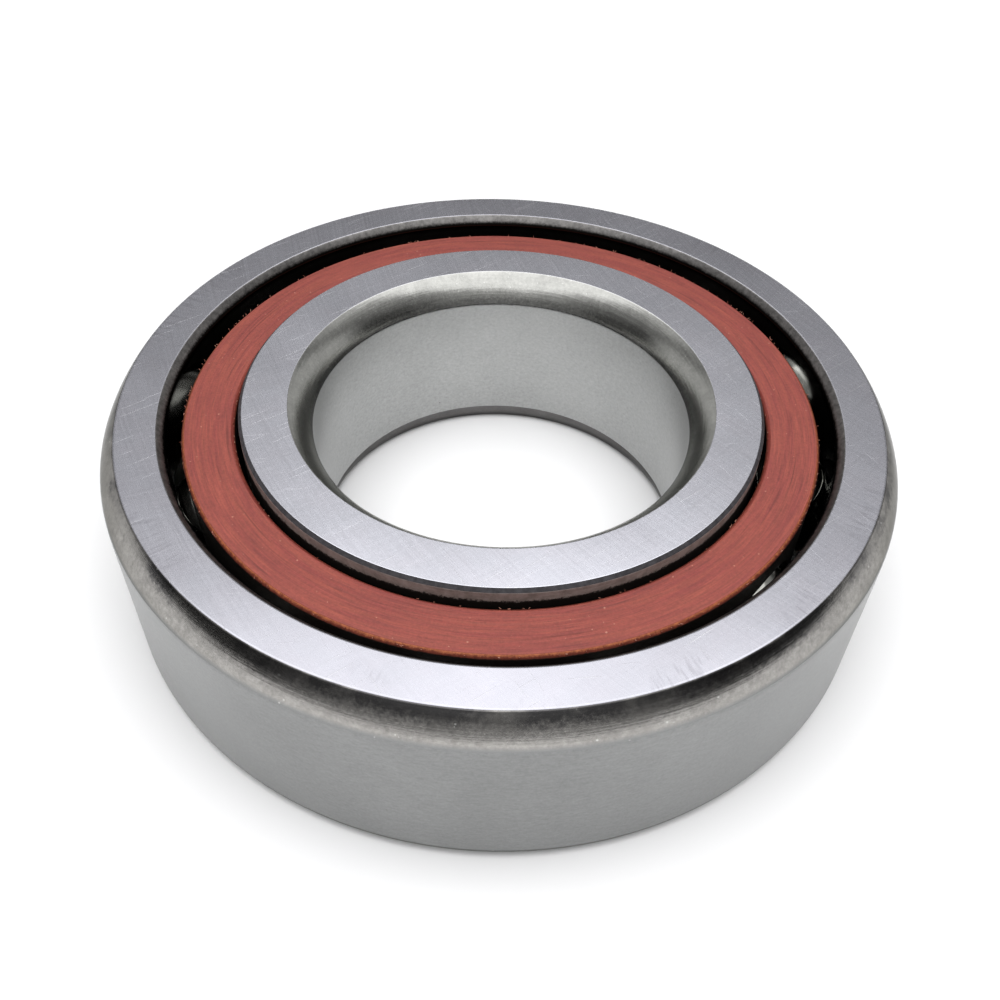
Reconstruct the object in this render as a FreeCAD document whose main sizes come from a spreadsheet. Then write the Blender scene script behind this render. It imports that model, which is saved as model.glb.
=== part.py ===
import FreeCAD, Part
import math
import os
import Sketcher
from FreeCAD import Vector

# Single-row angular contact ball bearing, 30 x 62 x 16 mm, open on both sides.
#
# Frame: millimetres, +Z along the bearing axis, the origin at the centre of the lower face.
# The outer ring's high shoulder, its thrust face, is at the top (z = ring_width). Its low,
# counterbored shoulder is at the bottom, and that side lets the balls and the inner ring in.
# The line through a ball's two contact points rises outwards at contact_angle.

DOCUMENT = "angular_contact_bearing"
SHEET = "Dimensions"

# Alias, size in millimetres (degrees for angles) and meaning.
DRIVING_SIZES = [
    ("bore_radius", 15.0, "shaft seat"),
    ("outside_radius", 31.0, "housing seat"),
    ("ring_width", 16.0, "width of both rings"),
    ("ball_count", 12, "balls in the row"),
    ("ball_radius", 4.7625, "3/8 inch balls"),
    ("pitch_radius", 23.0, "circle of the ball centres"),
    ("ball_height", 8.0, "height of the ball centres"),
    ("first_ball_angle", 21.0, "turn of ball_01 and its pocket from +X"),
    ("contact_angle", 25.0, "contact line above the radial plane"),
    ("groove_radius", 4.95, "cross radius of both raceways, 0.52 of the ball diameter"),
    ("running_clearance", 0.02, "gap between a ball and either raceway"),
    ("outer_shoulder_radius", 25.9, "high shoulder of the outer ring"),
    ("outer_relief_radius", 27.5, "lip of the counterbored shoulder"),
    ("outer_mouth_radius", 27.9, "wide end of the counterbore cone"),
    ("relief_lip_height", 1.9, "where the counterbore cone meets the lip"),
    ("outer_corner_width", 1.48, "outside corner at the top, measured along the face"),
    ("outer_corner_height", 2.38, "the same corner, measured along the axis"),
    ("outer_corner_crown", 8.2, "radius that rounds the same corner"),
    ("outer_foot_width", 0.8, "outside corner at the bottom, measured along the face"),
    ("outer_foot_height", 1.15, "the same corner, measured along the axis"),
    ("outer_foot_crown", 1.45, "radius that rounds the same corner"),
    ("face_bevel_width", 0.55, "bevel from the outer ring's top face to its shoulder"),
    ("face_bevel_height", 0.75, "the same bevel along the axis"),
    ("mouth_bevel", 0.35, "bevel of the counterbore's mouth"),
    ("inner_shoulder_radius", 20.45, "both shoulders of the inner ring"),
    ("bore_corner_width", 1.73, "bore corner at the top, measured along the face"),
    ("bore_corner_height", 2.38, "the same corner, measured along the axis"),
    ("bore_corner_crown", 5.0, "radius that rounds the same corner"),
    ("bore_foot_width", 0.7, "bore corner at the bottom, measured along the face"),
    ("bore_foot_height", 1.7, "the same corner, measured along the axis"),
    ("bore_foot_crown", 2.9, "radius that rounds the same corner"),
    ("shoulder_bevel", 0.26, "bevel of the inner ring's shoulders"),
    ("cage_inside_radius", 20.86, "cage bore"),
    ("cage_outside_radius", 24.91, "cage outside"),
    ("cage_low", 1.2, "lower face of the cage"),
    ("cage_high", 14.8, "upper face of the cage"),
    ("cage_bevel", 0.2, "bevel of the cage's edges"),
    ("pocket_radius", 4.95, "cage pocket, a ball with room to turn"),
]


def make_sheet(doc):
    """The spreadsheet that drives every size."""
    sheet = doc.addObject("Spreadsheet::Sheet", SHEET)
    for row, (alias, size, meaning) in enumerate(DRIVING_SIZES, start=1):
        sheet.set(f"A{row}", alias)
        sheet.set(f"B{row}", str(size))
        sheet.setAlias(f"B{row}", alias)
        sheet.set(f"C{row}", meaning)
    doc.recompute()
    return sheet


def total(sheet, words):
    """Number for words such as 'ring_width - cage_bevel', which add and subtract aliases."""
    amount = 0.0
    sign = 1
    for word in words.split():
        if word in ("+", "-"):
            sign = 1 if word == "+" else -1
        else:
            amount += sign * sheet.get(word)
    return amount


def bound(words):
    """The same words as an expression on the sheet's cells."""
    return " ".join(word if word in ("+", "-") else f"{SHEET}.{word}" for word in words.split())


def constrain(sketch, kind, *where, size, expression):
    """Add a dimension to the sketch and bind it to an expression."""
    index = sketch.addConstraint(Sketcher.Constraint(kind, *where, size))
    sketch.setExpression(f"Constraints[{index}]", expression)


def new_body(doc, name):
    body = doc.addObject("PartDesign::Body", name)
    body.Label = name
    return body


def new_sketch(body, name, plane):
    """A sketch on one of the body's own origin planes. Its vertical axis is the bearing axis."""
    sketch = body.newObject("Sketcher::SketchObject", name)
    role = f"{plane}_Plane"
    sketch.AttachmentSupport = [next(f for f in body.Origin.OriginFeatures if f.Role == role)]
    sketch.MapMode = "FlatFace"
    return sketch


def place_point(sketch, sheet, geometry, end, radius, height):
    """Pin one end of a line or arc at a radius and a height; no height is the lower face."""
    size = total(sheet, radius)
    constrain(sketch, "DistanceX", -1, 1, geometry, end, size=size, expression=bound(radius))
    if height:
        size = total(sheet, height)
        constrain(sketch, "DistanceY", -1, 1, geometry, end, size=size, expression=bound(height))
    else:
        sketch.addConstraint(Sketcher.Constraint("PointOnObject", geometry, end, -1))


def draw_outline(sketch, sheet, corners):
    """Draw a closed cross-section, anticlockwise. A corner is (radius, height), and a third item
    names the radius that crowns the edge to the next corner."""
    points = [
        Vector(total(sheet, corner[0]), total(sheet, corner[1]) if corner[1] else 0, 0)
        for corner in corners
    ]
    for i, corner in enumerate(corners):
        start = points[i]
        end = points[(i + 1) % len(points)]
        if len(corner) == 3:
            edge = crowned_edge(start, end, total(sheet, corner[2]))
        else:
            edge = Part.LineSegment(start, end)
        sketch.addGeometry(edge, False)
    for i, corner in enumerate(corners):
        following = (i + 1) % len(corners)
        sketch.addConstraint(Sketcher.Constraint("Coincident", i, 2, following, 1))
        place_point(sketch, sheet, i, 1, corner[0], corner[1])
        if len(corner) == 3:
            size = total(sheet, corner[2])
            constrain(sketch, "Radius", i, size=size, expression=bound(corner[2]))


def crowned_edge(start, end, radius):
    """An arc from start to end that bulges to the right of its chord, which is outwards."""
    chord = end - start
    rise = radius - math.sqrt(radius**2 - chord.Length**2 / 4)
    outwards = Vector(chord.y, -chord.x, 0).normalize()
    return Part.Arc(start, (start + end) / 2 + outwards * rise, end)


def turn(body, sketch):
    """Revolve the cross-section into a ring blank."""
    blank = body.newObject("PartDesign::Revolution", f"{body.Name}_blank")
    blank.Profile = sketch
    blank.ReferenceAxis = (sketch, ["V_Axis"])
    blank.Angle = 360
    sketch.Visibility = False
    return blank


def grind_raceway(doc, body, sheet, side):
    """Cut a ball groove around a ring. side is +1 for the inner ring, whose groove centre lies
    outside the ball centres on the contact line, and -1 for the outer ring."""
    sketch = new_sketch(body, f"{body.Name}_raceway", "XZ")
    shift = total(sheet, "groove_radius - ball_radius - running_clearance")
    slope = math.radians(sheet.get("contact_angle"))
    ball_centre = Vector(sheet.get("pitch_radius"), sheet.get("ball_height"), 0)
    groove_centre = ball_centre + Vector(math.cos(slope), math.sin(slope), 0) * side * shift
    inwards, outwards = sorted((ball_centre, groove_centre), key=lambda point: point.x)
    contact_line = sketch.addGeometry(Part.LineSegment(inwards, outwards), True)
    ball_end = 1 if side > 0 else 2
    place_point(sketch, sheet, contact_line, ball_end, "pitch_radius", "ball_height")
    constrain(
        sketch, "Distance", contact_line, size=shift,
        expression=bound("groove_radius - ball_radius - running_clearance"),
    )
    constrain(
        sketch, "Angle", contact_line, size=slope, expression=f"{SHEET}.contact_angle * 1 deg"
    )
    radius = sheet.get("groove_radius")
    circle = sketch.addGeometry(Part.Circle(groove_centre, Vector(0, 0, 1), radius), False)
    sketch.addConstraint(Sketcher.Constraint("Coincident", circle, 3, contact_line, 3 - ball_end))
    constrain(sketch, "Radius", circle, size=radius, expression=f"{SHEET}.groove_radius")
    doc.recompute()
    groove = body.newObject("PartDesign::Groove", f"{body.Name}_groove")
    groove.Profile = sketch
    groove.ReferenceAxis = (sketch, ["V_Axis"])
    groove.Angle = 360
    sketch.Visibility = False
    body.Tip = groove


def make_outer_ring(doc, sheet):
    """Housing seat outside, high shoulder at the top, counterbored shoulder at the bottom."""
    body = new_body(doc, "outer_ring")
    sketch = new_sketch(body, "outer_ring_section", "XZ")
    draw_outline(sketch, sheet, [
        ("outer_mouth_radius + mouth_bevel", ""),
        ("outside_radius - outer_foot_width", "", "outer_foot_crown"),
        ("outside_radius", "outer_foot_height"),
        ("outside_radius", "ring_width - outer_corner_height", "outer_corner_crown"),
        ("outside_radius - outer_corner_width", "ring_width"),
        ("outer_shoulder_radius + face_bevel_width", "ring_width"),
        ("outer_shoulder_radius", "ring_width - face_bevel_height"),
        ("outer_shoulder_radius", "ball_height"),
        ("outer_relief_radius", "ball_height"),
        ("outer_relief_radius", "relief_lip_height"),
        ("outer_mouth_radius", "mouth_bevel"),
    ])
    doc.recompute()
    turn(body, sketch)
    grind_raceway(doc, body, sheet, side=-1)
    return body


def make_inner_ring(doc, sheet):
    """Shaft seat inside, two equal shoulders outside."""
    body = new_body(doc, "inner_ring")
    sketch = new_sketch(body, "inner_ring_section", "XZ")
    draw_outline(sketch, sheet, [
        ("bore_radius", "bore_foot_height", "bore_foot_crown"),
        ("bore_radius + bore_foot_width", ""),
        ("inner_shoulder_radius - shoulder_bevel", ""),
        ("inner_shoulder_radius", "shoulder_bevel"),
        ("inner_shoulder_radius", "ring_width - shoulder_bevel"),
        ("inner_shoulder_radius - shoulder_bevel", "ring_width"),
        ("bore_radius + bore_corner_width", "ring_width", "bore_corner_crown"),
        ("bore_radius", "ring_width - bore_corner_height"),
    ])
    doc.recompute()
    turn(body, sketch)
    grind_raceway(doc, body, sheet, side=1)
    return body


def make_cage(doc, sheet):
    """One-piece machined ring with a round pocket for each ball."""
    body = new_body(doc, "cage")
    sketch = new_sketch(body, "cage_section", "XZ")
    draw_outline(sketch, sheet, [
        ("cage_inside_radius + cage_bevel", "cage_low"),
        ("cage_outside_radius - cage_bevel", "cage_low"),
        ("cage_outside_radius", "cage_low + cage_bevel"),
        ("cage_outside_radius", "cage_high - cage_bevel"),
        ("cage_outside_radius - cage_bevel", "cage_high"),
        ("cage_inside_radius + cage_bevel", "cage_high"),
        ("cage_inside_radius", "cage_high - cage_bevel"),
        ("cage_inside_radius", "cage_low + cage_bevel"),
    ])
    doc.recompute()
    turn(body, sketch)
    doc.recompute()
    bore_pockets(doc, body, sheet)
    body.setExpression("Placement.Rotation.Angle", f"{SHEET}.first_ball_angle * 1 deg")
    return body


def bore_pockets(doc, body, sheet):
    """Drill the first pocket along +X, then repeat it around the cage."""
    sketch = new_sketch(body, "pocket_circle", "YZ")
    height = sheet.get("ball_height")
    radius = sheet.get("pocket_radius")
    circle = sketch.addGeometry(Part.Circle(Vector(0, height, 0), Vector(0, 0, 1), radius), False)
    sketch.addConstraint(Sketcher.Constraint("PointOnObject", circle, 3, -2))
    constrain(
        sketch, "DistanceY", -1, 1, circle, 3, size=height, expression=f"{SHEET}.ball_height"
    )
    constrain(sketch, "Radius", circle, size=radius, expression=f"{SHEET}.pocket_radius")
    doc.recompute()
    pocket = body.newObject("PartDesign::Pocket", "first_pocket")
    pocket.Profile = sketch
    pocket.setExpression("Length", f"{SHEET}.outside_radius")
    pocket.Reversed = True
    sketch.Visibility = False
    doc.recompute()
    pockets = body.newObject("PartDesign::PolarPattern", "pockets")
    pockets.Originals = [pocket]
    pockets.Axis = (next(f for f in body.Origin.OriginFeatures if f.Role == "Z_Axis"), [""])
    pockets.Angle = 360
    pockets.setExpression("Occurrences", f"{SHEET}.ball_count")
    body.Tip = pockets


def make_ball(doc, number):
    """One ball of the row, centred in its pocket."""
    ball = doc.addObject("Part::Sphere", f"ball_{number:02d}")
    ball.Label = ball.Name
    angle = f"({SHEET}.first_ball_angle + {number - 1} * 360 / {SHEET}.ball_count) * 1 deg"
    ball.setExpression("Radius", f"{SHEET}.ball_radius")
    ball.setExpression("Placement.Base.x", f"{SHEET}.pitch_radius * cos({angle})")
    ball.setExpression("Placement.Base.y", f"{SHEET}.pitch_radius * sin({angle})")
    ball.setExpression("Placement.Base.z", f"{SHEET}.ball_height")
    return ball


def check_document(doc):
    """Stop if any object failed to compute or a sketch is left loose."""
    for item in doc.Objects:
        if "Invalid" in item.State or "Error" in item.State:
            raise RuntimeError(f"{item.Name} did not compute: {item.State}")
        if item.isDerivedFrom("Sketcher::SketchObject") and not item.FullyConstrained:
            raise RuntimeError(f"{item.Name} is not fully constrained")


def check_cuts(doc, sheet):
    """Stop if a raceway or the pockets took off no metal."""
    for blank, finished in (("outer_ring_blank", "outer_ring"), ("inner_ring_blank", "inner_ring")):
        if doc.getObject(finished).Shape.Volume > 0.95 * doc.getObject(blank).Shape.Volume:
            raise RuntimeError(f"the raceway of {finished} was not cut")
    depth = total(sheet, "cage_outside_radius - cage_inside_radius")
    one_pocket = math.pi * sheet.get("pocket_radius") ** 2 * depth
    removed = doc.getObject("cage_blank").Shape.Volume - doc.getObject("cage").Shape.Volume
    if removed < 0.95 * one_pocket * sheet.get("ball_count"):
        raise RuntimeError("the cage pockets were not all cut")


def write_step(part):
    """Write one sub-part, after checking that it is a sound single solid."""
    shape = part.Shape
    if shape.isNull() or not shape.isValid() or len(shape.Solids) != 1:
        raise RuntimeError(f"{part.Label} is not one valid solid")
    shape.exportStep(f"parts/{part.Label}.step")


def main():
    doc = FreeCAD.newDocument(DOCUMENT)
    sheet = make_sheet(doc)
    parts = [make_outer_ring(doc, sheet), make_inner_ring(doc, sheet), make_cage(doc, sheet)]
    parts += [make_ball(doc, number) for number in range(1, int(sheet.get("ball_count")) + 1)]
    doc.recompute()
    check_document(doc)
    check_cuts(doc, sheet)
    os.makedirs("parts", exist_ok=True)
    for part in parts:
        write_step(part)


main()
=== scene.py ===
import math

import bmesh
import bpy
import numpy as np
from mathutils import Matrix, Vector


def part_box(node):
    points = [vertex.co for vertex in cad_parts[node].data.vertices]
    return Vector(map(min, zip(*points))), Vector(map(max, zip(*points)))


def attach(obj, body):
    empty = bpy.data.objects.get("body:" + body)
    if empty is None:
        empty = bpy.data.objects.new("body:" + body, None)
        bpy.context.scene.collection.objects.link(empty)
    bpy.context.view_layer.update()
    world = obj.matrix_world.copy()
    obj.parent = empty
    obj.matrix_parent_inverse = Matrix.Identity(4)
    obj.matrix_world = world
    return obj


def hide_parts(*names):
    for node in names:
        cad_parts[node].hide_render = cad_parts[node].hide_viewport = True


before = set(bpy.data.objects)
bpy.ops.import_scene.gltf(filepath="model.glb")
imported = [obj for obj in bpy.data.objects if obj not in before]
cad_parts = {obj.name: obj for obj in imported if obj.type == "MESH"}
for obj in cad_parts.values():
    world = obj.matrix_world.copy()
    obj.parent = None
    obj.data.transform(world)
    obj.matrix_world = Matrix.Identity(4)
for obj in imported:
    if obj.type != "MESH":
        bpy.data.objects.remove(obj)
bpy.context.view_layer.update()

# Single-row angular contact ball bearing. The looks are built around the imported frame: every
# profile below is in millimetres, in the frame's own axes, and turned into a mesh in metres.

MM = 0.001

OUTSIDE_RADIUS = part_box("outer_ring")[1].x / MM
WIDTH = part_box("outer_ring")[1].z / MM
INNER_SHOULDER_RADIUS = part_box("inner_ring")[1].x / MM
CAGE_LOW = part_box("cage")[0].z / MM
CAGE_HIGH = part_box("cage")[1].z / MM
CAGE_OUTSIDE_RADIUS = 24.84
CAGE_INSIDE_RADIUS = 20.86
BORE_RADIUS = 15.0

BALL_NAMES = sorted(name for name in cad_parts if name.startswith("ball_"))
BALL_RADIUS = 4.7625
PITCH_RADIUS = 23.0
BALL_HEIGHT = 8.0
CONTACT_ANGLE = math.radians(25.0)
GROOVE_RADIUS = 4.95
GROOVE_SHIFT = 0.1675          # groove centre to ball centre, along the contact line
POCKET_RADIUS = 4.95

OUTER_CORNER = (1.48, 2.38, 0.118)    # along the face, along the axis, bow off the chord
OUTER_FOOT = (0.8, 1.15, 0.182)
OUTER_SHOULDER_RADIUS = 25.9
OUTER_RELIEF_RADIUS = 27.5
OUTER_MOUTH_RADIUS = 27.9
RELIEF_LIP_HEIGHT = 1.9
FACE_BEVEL = (0.55, 0.75)
MOUTH_BEVEL = 0.35
BORE_CORNER = (1.73, 2.38, 0.21)
BORE_FOOT = (0.7, 1.7, 0.149)
SHOULDER_BEVEL = 0.26
CAGE_BEVEL = 0.2

ROUNDING_STEPS = 4             # edges along the rounding of one corner
OUTER_SEGMENTS = 512           # edges around each turned piece
INNER_SEGMENTS = 480
CAGE_SEGMENTS = 432
DRILL_SEGMENTS = 96
DRILL_LENGTH = 8.0
BALL_SUBDIVISIONS = 5

CAGE_FACE_INSET = (0.05, 0.02)    # of the turned face from its inner and outer bevels
CAGE_WALL_INSET = 0.03
CAGE_WALL_ROWS = 60
RIDGE_PITCH = 0.045
RIDGE_DEPTH = 0.012
CAGE_SHARP_EDGE = math.radians(35)
RIDGE_SEED = 7
FIBRE_SEED = 19


# ---------------------------------------------------------------- cross-sections and lathe work

def bowed_edge(start, end, bow, keep_off, steps):
    """Points along an edge from start to end. Its middle stands bow off the chord, to the right
    of the way it runs; keep_off leaves out that much length at each end, for the rounding."""
    chord = end - start
    length = math.hypot(*chord)
    right = np.array([chord[1], -chord[0]]) / length
    share = np.linspace(keep_off[0] / length, 1 - keep_off[1] / length, steps + 1)[:, None]
    if abs(bow) < 1e-6:
        return start + share * chord
    radius = (length**2 / 4 + bow**2) / (2 * abs(bow))
    half_turn = math.asin(length / 2 / radius)
    if abs(bow) > length / 2:
        half_turn = math.pi - half_turn
    angle = (2 * share - 1) * half_turn
    along = np.sin(angle) * radius
    off = (np.cos(angle) - math.cos(half_turn)) * radius * math.copysign(1, bow)
    return (start + end) / 2 + along * chord / length + off * right


def rounded_outline(corners):
    """A closed cross-section. A corner is (radius, height, rounding, bow, steps, zone): the last
    three describe the edge that leaves it. Returns the points and the zone of each edge."""
    points = []
    zones = []
    count = len(corners)
    for i, (radius, height, rounding, bow, steps, zone) in enumerate(corners):
        follow = corners[(i + 1) % count]
        here = np.array([radius, height], float)
        after = np.array(follow[:2], float)
        edge = bowed_edge(here, after, bow, (rounding, follow[2]), steps)
        points.append(edge)
        zones += [zone] * steps
        next_after = np.array(corners[(i + 2) % count][:2], float)
        leaving = bowed_edge(after, next_after, follow[3], (follow[2], 0), follow[4])[0]
        bend = np.linspace(0, 1, ROUNDING_STEPS + 1)[1:-1, None]
        curve = (1 - bend) ** 2 * edge[-1] + 2 * bend * (1 - bend) * after + bend**2 * leaving
        points.append(curve)
        zones += [zone] * (ROUNDING_STEPS // 2) + [follow[5]] * (ROUNDING_STEPS - ROUNDING_STEPS // 2)
    return np.vstack(points), zones


def outline_normals(points):
    """Outward normals of a closed outline that runs anticlockwise, led by its longer edges."""
    edges = np.roll(points, -1, axis=0) - points
    lengths = np.hypot(edges[:, 0], edges[:, 1])
    right = np.stack([edges[:, 1], -edges[:, 0]], axis=1) * lengths[:, None]
    normals = right + np.roll(right, 1, axis=0)
    return normals / np.hypot(normals[:, 0], normals[:, 1])[:, None]


def lathe(name, points, zones, materials, segments):
    """Turn a closed outline, in millimetres, into a solid of revolution about Z."""
    count = len(points)
    angles = np.arange(segments) * 2 * math.pi / segments
    cosines = np.cos(angles)[:, None]
    sines = np.sin(angles)[:, None]

    def spin(pairs):
        heights = np.broadcast_to(pairs[:, 1], (segments, count))
        return np.stack([pairs[:, 0] * cosines, pairs[:, 0] * sines, heights], axis=-1)

    vertices = spin(points).reshape(-1, 3) * MM
    column = np.arange(segments)[:, None] * count
    next_column = (np.arange(segments)[:, None] + 1) % segments * count
    row = np.arange(count)[None, :]
    next_row = (row + 1) % count
    quads = np.stack(
        [column + row, next_column + row, next_column + next_row, column + next_row], axis=-1
    ).reshape(-1, 4)
    mesh = bpy.data.meshes.new(name)
    mesh.from_pydata(vertices.tolist(), [], quads.tolist())
    for material in materials:
        mesh.materials.append(material)
    mesh.polygons.foreach_set("material_index", np.tile(zones, segments).astype(np.int32))
    mesh.shade_smooth()
    mesh.normals_split_custom_set_from_vertices(
        spin(outline_normals(points)).reshape(-1, 3).tolist()
    )
    mesh.update()
    return new_object(name, mesh)


def new_object(name, mesh):
    """Put a mesh into the scene."""
    piece = bpy.data.objects.new(name, mesh)
    bpy.context.scene.collection.objects.link(piece)
    return piece


# ---------------------------------------------------------------- material building

MIX_SHARE, MIX_FIRST, MIX_SECOND = 0, 6, 7    # inputs of a Mix node that mixes colours
MIX_RESULT = 2                                # and its output
VECTOR_SCALE = 3                              # scale input of a Vector Math node


class Shader:
    """One node material, with short calls for the nodes that it is wired from."""

    def __init__(self, name):
        self.material = bpy.data.materials.new(name)
        self.material.use_nodes = True
        self.tree = self.material.node_tree
        self.tree.nodes.clear()
        output = self.tree.nodes.new("ShaderNodeOutputMaterial")
        self.surface = self.tree.nodes.new("ShaderNodeBsdfPrincipled")
        self.tree.links.new(self.surface.outputs["BSDF"], output.inputs["Surface"])
        place = self.tree.nodes.new("ShaderNodeTexCoord")
        self.place = self.vector("SCALE", place.outputs["Object"], scale=1 / MM)
        split = self.tree.nodes.new("ShaderNodeSeparateXYZ")
        self.tree.links.new(self.place, split.inputs[0])
        self.z = split.outputs["Z"]
        self.flat = self.vector("MULTIPLY", self.place, (1, 1, 0))
        self.radius = self.vector("LENGTH", self.flat)

    def feed(self, socket, value):
        """Link another node's output to a socket, or set the socket. None leaves it alone."""
        if isinstance(value, bpy.types.NodeSocket):
            self.tree.links.new(value, socket)
        elif value is not None:
            socket.default_value = value

    def math(self, operation, a, b=None):
        node = self.tree.nodes.new("ShaderNodeMath")
        node.operation = operation
        self.feed(node.inputs[0], a)
        self.feed(node.inputs[1], b)
        return node.outputs[0]

    def add(self, a, b):
        return self.math("ADD", a, b)

    def minus(self, a, b):
        return self.math("SUBTRACT", a, b)

    def times(self, a, b):
        return self.math("MULTIPLY", a, b)

    def vector(self, operation, a, b=None, scale=None):
        node = self.tree.nodes.new("ShaderNodeVectorMath")
        node.operation = operation
        self.feed(node.inputs[0], a)
        self.feed(node.inputs[1], b)
        self.feed(node.inputs[VECTOR_SCALE], scale)
        return node.outputs["Value"] if operation == "LENGTH" else node.outputs["Vector"]

    def vector_part(self, vector, axis):
        node = self.tree.nodes.new("ShaderNodeSeparateXYZ")
        self.feed(node.inputs[0], vector)
        return node.outputs[axis]

    def combine(self, x, y, z):
        node = self.tree.nodes.new("ShaderNodeCombineXYZ")
        for socket, value in zip(node.inputs, (x, y, z)):
            self.feed(socket, value)
        return node.outputs[0]

    def mapped(self, turn=0.0, stretch=(1, 1, 1)):
        """Millimetre coordinates turned about Z, then scaled."""
        node = self.tree.nodes.new("ShaderNodeMapping")
        node.vector_type = "TEXTURE"
        self.feed(node.inputs["Vector"], self.place)
        node.inputs["Rotation"].default_value = (0, 0, math.radians(turn))
        node.inputs["Scale"].default_value = stretch
        return node.outputs[0]

    def noise(self, vector, scale, detail=2.0, roughness=0.5, distortion=0.0, fourth=None):
        node = self.tree.nodes.new("ShaderNodeTexNoise")
        if fourth is not None:
            node.noise_dimensions = "4D"
            self.feed(node.inputs["W"], fourth)
        self.feed(node.inputs["Vector"], vector)
        node.inputs["Scale"].default_value = scale
        node.inputs["Detail"].default_value = detail
        node.inputs["Roughness"].default_value = roughness
        node.inputs["Distortion"].default_value = distortion
        return node.outputs["Fac"]

    def spots(self, vector, scale, size):
        """1 inside small round spots, 0 elsewhere."""
        node = self.tree.nodes.new("ShaderNodeTexVoronoi")
        self.feed(node.inputs["Vector"], vector)
        node.inputs["Scale"].default_value = scale
        return self.stretch(node.outputs["Distance"], size, size * 0.6)

    def stretch(self, value, low, high, to_low=0.0, to_high=1.0):
        """Map low..high to to_low..to_high, clamped."""
        node = self.tree.nodes.new("ShaderNodeMapRange")
        self.feed(node.inputs["Value"], value)
        node.inputs["From Min"].default_value = low
        node.inputs["From Max"].default_value = high
        node.inputs["To Min"].default_value = to_low
        node.inputs["To Max"].default_value = to_high
        return node.outputs[0]

    def around(self, round_scale, radius_scale, height_scale, detail=3, roughness=0.6):
        """Noise drawn out around the bearing axis, with its own scale each way. It is read on a
        circle, so it has no seam."""
        circle = self.vector("SCALE", self.vector("NORMALIZE", self.flat), scale=round_scale)
        outwards = self.combine(0, 0, self.times(self.radius, radius_scale))
        where = self.vector("ADD", circle, outwards)
        fourth = self.times(self.z, height_scale)
        return self.noise(where, 1.0, detail, roughness, fourth=fourth)

    def grey(self, value):
        return self.combine(value, value, value)

    def tinted(self, tint, shade):
        """A colour made lighter or darker by a shade near 1."""
        return self.vector("SCALE", tint, scale=shade)

    def blend(self, share, a, b, how="MIX"):
        node = self.tree.nodes.new("ShaderNodeMix")
        node.data_type = "RGBA"
        node.blend_type = how
        self.feed(node.inputs[MIX_SHARE], share)
        self.feed(node.inputs[MIX_FIRST], colour(a))
        self.feed(node.inputs[MIX_SECOND], colour(b))
        return node.outputs[MIX_RESULT]

    def bump(self, height, distance, under=None):
        """Relief: height 0..1 stands for distance millimetres."""
        node = self.tree.nodes.new("ShaderNodeBump")
        node.inputs["Strength"].default_value = 1.0
        node.inputs["Distance"].default_value = distance * MM
        self.feed(node.inputs["Height"], height)
        self.feed(node.inputs["Normal"], under)
        return node.outputs[0]

    def set(self, **inputs):
        """Feed the surface's sockets, named with _ for a space, and give the material."""
        for name, value in inputs.items():
            self.feed(self.surface.inputs[name.replace("_", " ")], colour(value))
        return self.material


def colour(value):
    """Red, green and blue as a socket takes them, and anything else as it is."""
    return (*value, 1.0) if isinstance(value, tuple) and len(value) == 3 else value


# ---------------------------------------------------------------- materials

OUTER_FACE_TINT = (0.470, 0.470, 0.515)
INNER_FACE_TINT = (0.585, 0.588, 0.642)
CORNER_TINT = (0.365, 0.353, 0.337)
BEVEL_TINT = (0.23, 0.222, 0.215)
BORE_CORNER_TINT = (0.50, 0.50, 0.475)
FOOT_SHADE_TINT = (0.165, 0.16, 0.158)
OUTSIDE_TINT = (0.250, 0.253, 0.251)
BORE_TINT = (0.40, 0.405, 0.40)
SHOULDER_TINT = (0.30, 0.262, 0.24)
SHOULDER_EDGE_TINT = (0.052, 0.050, 0.054)
LAND_TINT = (0.42, 0.42, 0.41)
RACEWAY_TINT = (0.40, 0.40, 0.39)
BALL_TINT = (0.84, 0.84, 0.80)

# Dark colour, painted as shade on the outer corner and painted on the bore corner towards its root.
PAINTED_DARK_TINT = (0.092, 0.090, 0.094)
SCRATCH_TINT = (0.80, 0.80, 0.80)
CHATTER_TINT = (0.16, 0.15, 0.17)
PALE_LINE_TINT = (0.42, 0.40, 0.36)
DUST_TINT = (0.72, 0.72, 0.70)
PIT_TINT = (0.10, 0.09, 0.085)
BEVEL_FOOT_SHADE_TINT = (0.010, 0.009, 0.008)
SHOULDER_GAP_SHADE_TINT = (0.008, 0.006, 0.005)
GAP_SHADE_TINT = (0.03, 0.028, 0.026)
SHOULDER_HIGHLIGHT_TINT = (0.42, 0.39, 0.37)

CLOTH_TINTS = ((0.225, 0.044, 0.036), (0.270, 0.060, 0.041))
CUT_THREAD_TINT = (0.42, 0.15, 0.105)
DEEP_CUT_TINT = (0.13, 0.026, 0.020)
LINT_TINT = (0.62, 0.34, 0.24)
RIM_LIGHT_AND_SHADE_TINTS = ((0.13, 0.028, 0.014), (0.48, 0.15, 0.06))
RIM_SHADE_TINT = (0.14, 0.028, 0.015)
WALL_SHADE_TINT = (0.006, 0.004, 0.003)
LOOSE_THREAD_TINTS = ((0.30, 0.09, 0.06), (0.52, 0.28, 0.20))


def grinding_arcs(s, centre, pitch, length):
    """Fine arcs about a far centre, as a cup wheel leaves them on a flat face. Each arc breaks
    off at a place of its own."""
    away = s.vector("SUBTRACT", s.place, (*centre, 0))
    across = s.math("DIVIDE", s.vector("LENGTH", s.vector("MULTIPLY", away, (1, 1, 0))), pitch)
    turn = s.math("ARCTAN2", s.vector_part(away, 1), s.vector_part(away, 0))
    along = s.times(turn, math.hypot(*centre) / length)
    start = s.times(s.noise(s.combine(across, 0, 0), 0.9, 0), 7.0)
    return s.noise(s.combine(across, s.add(along, start), 0), 1.0, 3, 0.6)


def stray_scratches(s, turn, width, length, rarity):
    """Thin straight scratches, all one way: 1 on a scratch."""
    lines = s.noise(s.mapped(turn, (length, width, 1)), 1.0, 1, 0.4)
    return s.stretch(lines, rarity, rarity + 0.05)


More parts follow.
